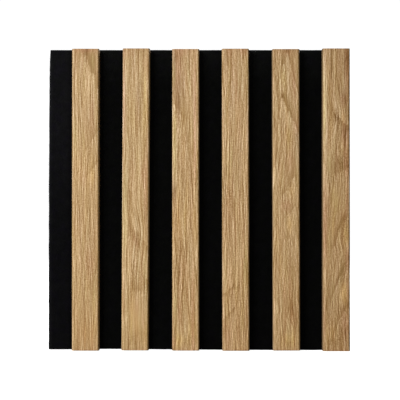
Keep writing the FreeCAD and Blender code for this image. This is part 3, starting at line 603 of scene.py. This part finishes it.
# ------------------------------------------------------------------ MDF cores
def mdf_material():
    t = Tree("mdf_edge")
    x, y, z = t.position()
    fine = t.noise(t.xyz(x * 2.1, y * 5.2, z * 2.1), detail=4.0, rough=0.7)
    layer = t.noise(t.xyz(x / 14.0, y * 1.6, z / 14.0), detail=2.0)
    mid = t.step(t.math("ABSOLUTE", y + 15.0), 2.0, 5.6)
    v = (fine - 0.5) * 0.9 + (layer - 0.5) * 0.6 + mid * 0.25 + 0.4
    col = t.ramp(v, [(0.0, (0.46, 0.34, 0.215)), (0.5, (0.36, 0.25, 0.150)), (1.0, (0.22, 0.142, 0.08))])
    return t.finish(col, 0.85 - (fine - 0.5) * 0.2, t.bump(fine, 0.00012, 0.9), spec=0.2)


def glue_material():
    t = Tree("hot_melt")
    x, y, z = t.position()
    a = t.noise(t.xyz(x / 3.0, y / 3.0, z / 7.0), detail=2.0)
    col = t.ramp(a, [(0.3, (0.66, 0.58, 0.40)), (0.7, (0.74, 0.68, 0.52))])
    return t.finish(col, 0.32 + a * 0.15, t.bump(a, 0.0002, 0.5), spec=0.5)


def wire_material():
    t = Tree("galvanised_wire")
    x, y, z = t.position()
    a = t.noise(t.xyz(x * 1.5, y * 1.5, z * 6.0), detail=3.0, rough=0.6)
    col = t.ramp(a, [(0.3, (0.50, 0.51, 0.52)), (0.7, (0.68, 0.68, 0.67))])
    return t.finish(col, 0.26 + a * 0.25, t.bump(a, 0.00003, 0.6), spec=0.5, metal=1.0)


MDF, GLUE, WIRE = mdf_material(), glue_material(), wire_material()
for name, o in NODES.items():
    m = MDF if name.startswith("slat_core") else GLUE if name.startswith("glue") else WIRE if name == "staples" else None
    if m:
        o.data.materials.clear()
        o.data.materials.append(m)


# ----------------------------------------------------------------------- felt
def felt_material(name, lift=1.0, streak=1.0):
    t = Tree(name)
    x, y, z = t.position()
    a = t.noise(t.xyz(x * 0.9, y * 0.9, z * 0.9), detail=4.0, rough=0.75, distort=0.6)
    b = t.noise(t.xyz(x * 0.13, y * 0.13, z * 0.13), detail=3.0, rough=0.6)
    # combed fibres: noise drawn out in a direction that keeps changing
    turn = t.noise(t.xyz(x * 0.22, y * 0.22, z * 0.22 + 3.7), detail=1.0) * 9.0
    cs, sn = t.math("COSINE", turn), t.math("SINE", turn)
    u, v = x * cs + z * sn, z * cs - x * sn
    f = t.noise(t.xyz(u * 3.4, y * 3.0, v * 0.45), detail=3.0, rough=0.7)
    g = (a - 0.5) * 0.75 + (f - 0.5) * 1.0 * streak + (b - 0.5) * 0.4 + 0.45
    col = t.ramp(g, [
        (0.10, (0.0014 * lift, 0.0014 * lift, 0.0015 * lift)),
        (0.50, (0.0042 * lift, 0.0042 * lift, 0.0045 * lift)),
        (0.78, (0.0078 * lift, 0.0078 * lift, 0.0083 * lift)),
        (1.00, (0.0220 * lift, 0.0220 * lift, 0.0230 * lift)),
    ])
    # painted light and shade: the open strip is paler towards the top, where light from
    # above falls, and darker beside the first slat. Between the slats the felt is painted
    # dark, more so to the right, paler near the top, and darkest in a painted shadow
    # where it meets the next slat
    across = t.math("FRACT", (x + 100.0) / 50.0)
    slot = t.step(across, 0.0, 0.16, 2.0, 0.85) * t.step(across, 0.06, 0.38, 1.0, 0.60) * t.step(z, 108.0, 150.0, 1.0, 1.65)
    slot = slot * t.step(across, 0.430, 0.450, 1.0, 0.25)
    strip = t.step(z, -40.0, 110.0, 0.85, 1.30) * t.step(x, -134.0, -128.0, 1.0, 0.72) * t.step(x, -128.6, -127.5, 1.0, 0.3)
    # painted highlight: the felt is lighter along its left cut edge, with bright specks, where teased fibres catch
    # the light
    glint_specks = t.noise(t.xyz(x * 1.1, y * 1.1, z * 1.1 + 5.3), detail=2.0, rough=0.8)
    strip = strip * (t.step(x, -149.8, -146.4, 1.0, 0.0) * (t.step(glint_specks, 0.50, 0.72) * 1.2 + 0.30) + 1.0)
    shade = t.step(x, -127.2, -126.8, 0.0, 1.0)
    gap = shade
    shade = strip * (1.0 - shade) + slot * shade
    # all this is on the front only
    front = t.step(y, -8.7, -8.2, 1.0, 0.0)
    col = t.scale_colour(col, (shade - 1.0) * front + 1.0)
    # patches lean to blue and violet
    tint = t.noise(t.xyz(x * 0.16, y * 0.16, z * 0.16 + 9.1), detail=2.0)
    col = t.mix(t.step(tint, 0.46, 0.66, 0.0, 0.8), col, t.mix(1.0, col, (1.00, 0.92, 1.18), "MULTIPLY"))
    # the felt in the painted shade between the slats is made less blue
    col = t.mix(gap * front, col, t.mix(1.0, col, (0.98, 1.03, 0.89), "MULTIPLY"))
    m = t.finish(col, 1.0, t.bump(f + a * 0.7, 0.00025, 1.0), spec=0.0)
    t.bsdf.inputs["Sheen Weight"].default_value = 0.012
    t.bsdf.inputs["Sheen Roughness"].default_value = 0.5
    t.bsdf.inputs["Sheen Tint"].default_value = (0.6, 0.6, 0.62, 1.0)
    return m


def value_noise(shape, cells, rng):
    """Smooth noise on a grid, -1 to 1."""
    h, w = shape
    gy, gx = cells
    g = rng.uniform(-1, 1, (gy + 4, gx + 4))
    yy = np.linspace(1, gy + 1, h)
    xx = np.linspace(1, gx + 1, w)

    def weights(v):
        i = np.floor(v).astype(int)
        f = v - i
        w0 = (1 - f) ** 3 / 6
        w1 = (3 * f**3 - 6 * f**2 + 4) / 6
        w2 = (-3 * f**3 + 3 * f**2 + 3 * f + 1) / 6
        w3 = f**3 / 6
        return i, (w0, w1, w2, w3)

    iy, wy = weights(yy)
    ix, wx = weights(xx)
    out = np.zeros((h, w))
    for a in range(4):
        rows = g[iy - 1 + a]
        acc = np.zeros((h, w))
        for b in range(4):
            acc += wx[b][None, :] * rows[:, ix - 1 + b]
        out += wy[a][:, None] * acc
    return out * 2.2


# The sheet was trimmed a little out of square. Its left edge in x going up, and
# its bottom edge in z going right, in millimetres.
LEFT_EDGE = [(-151, -151.25), (-100, -151.1), (-60, -150.98), (-5, -151.02), (30, -150.8), (60, -150.57), (90, -150.42), (115, -150.25), (135, -150.02), (146, -149.65), (151, -149.2)]
LOW_EDGE = [(-151, -150.25), (-120, -150.1), (-90, -149.7), (-40, -150.15), (10, -150.45), (60, -150.73), (110, -150.8), (151, -150.65)]


def along(points, v):
    q = np.array(points) / 1000.0
    return np.interp(v, q[:, 0], q[:, 1])


def crowns():
    """Middle of each staple's crown, on the back, in metres."""
    out = []
    for k in range(1, 7):
        x0, lean = AXES[k][:2]
        for z in (-0.126, -0.042, 0.042, 0.126):
            out.append((x0 + lean * z, z))
    return out


def crown_distance(x, z):
    """Distance from a point of the back to the nearest crown."""
    return np.minimum.reduce([np.hypot(np.maximum(np.abs(x - cx) - 0.0050, 0), z - cz) for cx, cz in crowns()])


def felt_mesh():
    """A closed sheet with soft, uneven faces and cut edges, and a dimple in the
    back round each staple's crown. Rows are closer together at the crowns."""
    rng = np.random.default_rng(12)
    us = np.linspace(0, 1, 188)
    ws = np.linspace(0, 1, 188)
    levels = sorted({round(0.5 + z / 0.3, 6) for _, z in crowns()})
    ws = [w for w in ws if min(abs(w - c) for c in levels) > 0.0028 / 0.3]
    ws = np.sort(np.concatenate([ws] + [c + np.linspace(-0.0024, 0.0024, 13) / 0.3 for c in levels]))
    nx, nz = len(us), len(ws)
    U, W = np.meshgrid(us, ws)

    def soft(cells):
        """Even noise over the sheet, read at its rows and columns."""
        even = value_noise((250, 250), cells, rng)
        i, j = ws * 248.999, us * 248.999
        a, b = i.astype(int), j.astype(int)
        fi, fj = (i - a)[:, None], (j - b)[None, :]
        low = even[a][:, b] * (1 - fj) + even[a][:, b + 1] * fj
        high = even[a + 1][:, b] * (1 - fj) + even[a + 1][:, b + 1] * fj
        return low * (1 - fi) + high * fi

    zl = -PANEL + 2 * PANEL * W[:, :1]
    left = along(LEFT_EDGE, zl) + 0.00010 * value_noise((nz, 1), (110, 1), rng) + 0.00006 * value_noise((nz, 1), (34, 1), rng)
    right = PANEL - 0.0004 + 0.00010 * value_noise((nz, 1), (80, 1), rng)
    X = left + (right - left) * U
    low = along(LOW_EDGE, X) + 0.00005 * value_noise((1, nx), (1, 110), rng)
    high = PANEL + 0.00020 + 0.00003 * value_noise((1, nx), (1, 110), rng)
    Z = low + (high - low) * W

    # how near a slat: 1 under it, 0 well out in a gap
    under = np.zeros_like(X)
    for k in range(1, 7):
        x0, lean = AXES[k][:2]
        dist = np.abs(X - x0 - lean * Z) - SLAT_W / 2
        under = np.maximum(under, 1 - np.clip((dist - 0.0002) / 0.0022, 0, 1))
    # a slight rounding at the cut edges
    r = 0.00045
    ex = np.minimum(X - left, right - X)
    ez = np.minimum(Z - low, high - Z)

    def drop(e):
        return np.where(e < r, r - np.sqrt(np.maximum(r * r - (r - e) ** 2, 0)), 0)

    round_off = drop(ex) + drop(ez)
    lumps = 0.00012 * soft((150, 150)) + 0.00012 * soft((60, 60)) + 0.00008 * soft((14, 14))
    front = -FELT_T - (1 - under) * (0.00006 + lumps) + round_off
    front = np.where(under > 0.01, np.maximum(front, -FELT_T + 0.00002), front)
    lumps = 0.00008 * soft((120, 120)) + 0.0001 * soft((30, 30))
    dimple = 0.00075 * np.exp(-(crown_distance(X, Z) / 0.0016) ** 2)
    back = np.minimum(-0.0002 + lumps - round_off, -0.00002) - dimple

    verts = np.concatenate([
        np.stack([X, front, Z], -1).reshape(-1, 3),
        np.stack([X, back, Z], -1).reshape(-1, 3),
    ])
    n = nx * nz
    ids = np.arange(n).reshape(nz, nx)
    a, b, c, d = ids[:-1, :-1].ravel(), ids[:-1, 1:].ravel(), ids[1:, 1:].ravel(), ids[1:, :-1].ravel()
    faces = [tuple(q) for q in np.stack([a, b, c, d], -1)]
    faces += [tuple(q) for q in np.stack([d + n, c + n, b + n, a + n], -1)]
    # the cut edge, in rows so that its fibres stand unevenly
    ring = np.concatenate([ids[0, :], ids[1:, -1], ids[-1, -2::-1], ids[-2:0:-1, 0]])
    m = len(ring)
    steps = 8
    rows = [ring]
    fv, bv = verts[ring], verts[ring + n]
    out = np.zeros((m, 3))
    out[:nx, 2] -= 1
    out[nx - 1:nx + nz - 1, 0] += 1
    out[nx + nz - 2:2 * nx + nz - 2, 2] += 1
    out[2 * nx + nz - 3:, 0] -= 1
    out[0, 0] -= 1
    out /= np.maximum(np.linalg.norm(out, axis=1), 1e-9)[:, None]
    extra = []
    base = len(verts)
    for j in range(1, steps):
        f = j / steps
        fuzz = 0.00009 * rng.uniform(-1, 1, m)
        line = fv * (1 - f) + bv * f + out * (0.00002 * math.sin(math.pi * f) + fuzz)[:, None]
        extra.append(line)
        rows.append(base + np.arange(m) + (j - 1) * m)
    rows.append(ring + n)
    verts = np.concatenate([verts] + extra)
    for j in range(steps):
        p, q = rows[j], rows[j + 1]
        for i in range(m):
            e = (i + 1) % m
            faces.append((int(p[e]), int(p[i]), int(q[i]), int(q[e])))
    mesh = bpy.data.meshes.new("felt_sheet")
    mesh.from_pydata([tuple(v) for v in verts], [], [tuple(int(i) for i in f) for f in faces])
    mesh.validate()
    mesh.polygons.foreach_set("use_smooth", [True] * len(mesh.polygons))
    mesh.update()
    return mesh


def fibres_mesh():
    """Loose fibres: thin closed tubes, lying on the felt and out past its edges."""
    rng = np.random.default_rng(77)
    roots, ways, lifts = [], [], []
    gaps = []
    edges = [(-PANEL + 0.0008, AXES[1][0] - SLAT_W / 2)]
    for k in range(1, 6):
        edges.append((AXES[k][0] + SLAT_W / 2, AXES[k + 1][0] - SLAT_W / 2))
    total = []
    # on the front, in the strip and the gaps
    for i, (xa, xb) in enumerate(edges):
        for _ in range(620 if i == 0 else 420):
            total.append(("front", rng.uniform(xa + 0.001, xb - 0.001), rng.uniform(-0.1485, 0.1485)))
    for _ in range(900):
        total.append(("back", rng.uniform(-0.148, 0.148), rng.uniform(-0.1485, 0.1485)))
    for _ in range(420):
        total.append(("left", 0.0, rng.uniform(-0.149, 0.149)))
    for _ in range(160):
        total.append(("right", 0.0, rng.uniform(-0.149, 0.149)))
    for _ in range(240):
        total.append(("top", rng.uniform(-0.148, 0.149), 0.0))
        total.append(("low", rng.uniform(-0.148, 0.149), 0.0))
    verts, faces = [], []
    for where, x, z in total:
        if where == "back" and crown_distance(x, z) < 0.005:
            continue
        length = rng.uniform(0.0012, 0.0050) if where in ("front", "back") else rng.uniform(0.0008, 0.0022)
        radius = rng.uniform(0.000018, 0.000045)
        turn = rng.uniform(0, 2 * math.pi)
        curl = rng.uniform(-1.6, 1.6)
        n = 5
        if where in ("front", "back"):
            side = -1.0 if where == "front" else 1.0
            y0 = -FELT_T - 0.00012 if where == "front" else -0.00016
            rise = rng.uniform(0.0000, 0.00025)
            pts = []
            px, pz = x, z
            for j in range(n):
                f = j / (n - 1)
                a = turn + curl * (f - 0.5)
                y = y0 + side * rise * math.sin(math.pi * f) if where == "front" else min(y0 + rise * math.sin(math.pi * f), -0.00006)
                pts.append((px, y, pz))
                px += math.cos(a) * length / (n - 1)
                pz += math.sin(a) * length / (n - 1)
        else:
            y = -rng.uniform(0.0004, 0.0086)
            a0 = rng.uniform(-1.15, 1.15)
            pts = []
            if where == "left":
                ox, oz, hx, hz = float(along(LEFT_EDGE, z)) + 0.0002, z, -1, 0
            elif where == "right":
                ox, oz, hx, hz = PANEL - 0.0006, z, 1, 0
            elif where == "top":
                ox, oz, hx, hz = x, PANEL - 0.0001, 0, 1
            else:
                ox, oz, hx, hz = x, float(along(LOW_EDGE, x)) + 0.0002, 0, -1
            reach = min(length, 0.0011) if where in ("left",) else min(length, 0.0007)
            for j in range(n):
                f = j / (n - 1)
                out = math.sin(f * math.pi / 2 * 1.4) * reach * math.cos(a0)
                run = f * length * math.sin(a0)
                pts.append((ox + hx * out + hz * run, y + curl * 0.0002 * f * f, oz + hz * out + hx * run))
        base = len(verts)
        for j, q in enumerate(pts):
            p0 = pts[max(j - 1, 0)]
            p1 = pts[min(j + 1, n - 1)]
            d = Vector(p1) - Vector(p0)
            if d.length < 1e-9:
                d = Vector((1, 0, 0))
            d.normalize()
            s1 = d.orthogonal().normalized()
            s2 = d.cross(s1)
            r = radius * (1.0 - 0.55 * abs(j / (n - 1) * 2 - 1))
            for i in range(3):
                a = i * 2 * math.pi / 3
                v = Vector(q) + s1 * (math.cos(a) * r) + s2 * (math.sin(a) * r)
                verts.append(tuple(v))
        for j in range(n - 1):
            for i in range(3):
                e = (i + 1) % 3
                faces.append((base + 3 * j + i, base + 3 * j + e, base + 3 * j + 3 + e, base + 3 * j + 3 + i))
        faces.append((base + 2, base + 1, base))
        faces.append((base + 3 * n - 3, base + 3 * n - 2, base + 3 * n - 1))
    mesh = bpy.data.meshes.new("felt_fibres")
    mesh.from_pydata(verts, [], faces)
    mesh.validate()
    mesh.polygons.foreach_set("use_smooth", [True] * len(mesh.polygons))
    mesh.update()
    return mesh


felt = bpy.data.objects.new("felt_sheet", felt_mesh())
scene.collection.objects.link(felt)
felt.data.materials.append(felt_material("felt_black"))
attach(felt, "root")
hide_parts("felt_backing")

fibres = bpy.data.objects.new("felt_fibres", fibres_mesh())
scene.collection.objects.link(fibres)
fibres.data.materials.append(felt_material("felt_fibre", lift=2.6, streak=0.3))
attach(fibres, "root")


# --------------------------------------------------------------- oak wrappings
for k in range(1, 7):
    o = bpy.data.objects.new("oak_wrap_%d" % k, slat_mesh(k))
    scene.collection.objects.link(o)
    o.data.materials.append(oak_material(k))
    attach(o, "root")
    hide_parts("oak_veneer_%d" % k)


# ------------------------------------------------------------ stage and light
def stage_plane(name, size, location, rotation, colour, glow):
    mesh = bpy.data.meshes.new(name)
    bm = bmesh.new()
    bmesh.ops.create_grid(bm, x_segments=4, y_segments=4, size=size)
    bm.to_mesh(mesh)
    bm.free()
    o = bpy.data.objects.new(name, mesh)
    o.location, o.rotation_euler = location, rotation
    scene.collection.objects.link(o)
    t = Tree(name)
    x, y, z = t.position()
    v = t.noise(t.xyz(x / 400.0, y / 400.0, z / 400.0), detail=2.0)
    col = t.ramp(v, [(0.3, tuple(c * 0.985 for c in colour)), (0.7, colour)])
    t.finish(col, 0.95, spec=0.0)
    t.bsdf.inputs["Emission Color"].default_value = (1, 1, 1, 1)
    t.bsdf.inputs["Emission Strength"].default_value = glow
    mesh.materials.append(t.mat)
    return o


floor = stage_plane("floor", 12.0, (0, 0, -0.1513), (0, 0, 0), (0.62, 0.62, 0.62), 0.965)
# the white floor is for the eye: it doesn't light the panel from below
floor.visible_diffuse = False
floor.visible_glossy = False

world = bpy.data.worlds.new("studio")
world.use_nodes = True
scene.world = world
wt = world.node_tree
wt.nodes.clear()
fill = wt.nodes.new("ShaderNodeBackground")
fill.inputs[0].default_value = (0.96, 0.98, 1.0, 1.0)
fill.inputs[1].default_value = 0.12
seen = wt.nodes.new("ShaderNodeBackground")
seen.inputs[0].default_value = (1.0, 1.0, 1.0, 1.0)
seen.inputs[1].default_value = 1.05
path = wt.nodes.new("ShaderNodeLightPath")
pick = wt.nodes.new("ShaderNodeMixShader")
out = wt.nodes.new("ShaderNodeOutputWorld")
wt.links.new(path.outputs["Is Camera Ray"], pick.inputs[0])
wt.links.new(fill.outputs[0], pick.inputs[1])
wt.links.new(seen.outputs[0], pick.inputs[2])
wt.links.new(pick.outputs[0], out.inputs[0])


def softbox(name, location, target, size, power, colour=(1, 1, 1)):
    d = bpy.data.lights.new(name, "AREA")
    d.shape = "RECTANGLE"
    d.size, d.size_y = size
    d.energy = power
    d.color = colour
    o = bpy.data.objects.new(name, d)
    o.location = location
    o.rotation_euler = (Vector(target) - Vector(location)).to_track_quat("-Z", "Y").to_euler()
    scene.collection.objects.link(o)
    return o


softbox("key", (-0.96, -1.19, 0.46), (0, 0, 0), (1.05, 1.05), 37.7)
softbox("top", (-0.1, -0.35, 1.5), (0, 0, 0), (1.4, 0.9), 5.0)
rear = softbox("rear", (0.75, 1.35, 0.75), (0, 0, 0), (1.2, 1.2), 30.0)
rear.visible_camera = False

scene.view_settings.view_transform = "Standard"
scene.view_settings.look = "None"
scene.view_settings.exposure = 0.0
scene.view_settings.gamma = 1.0
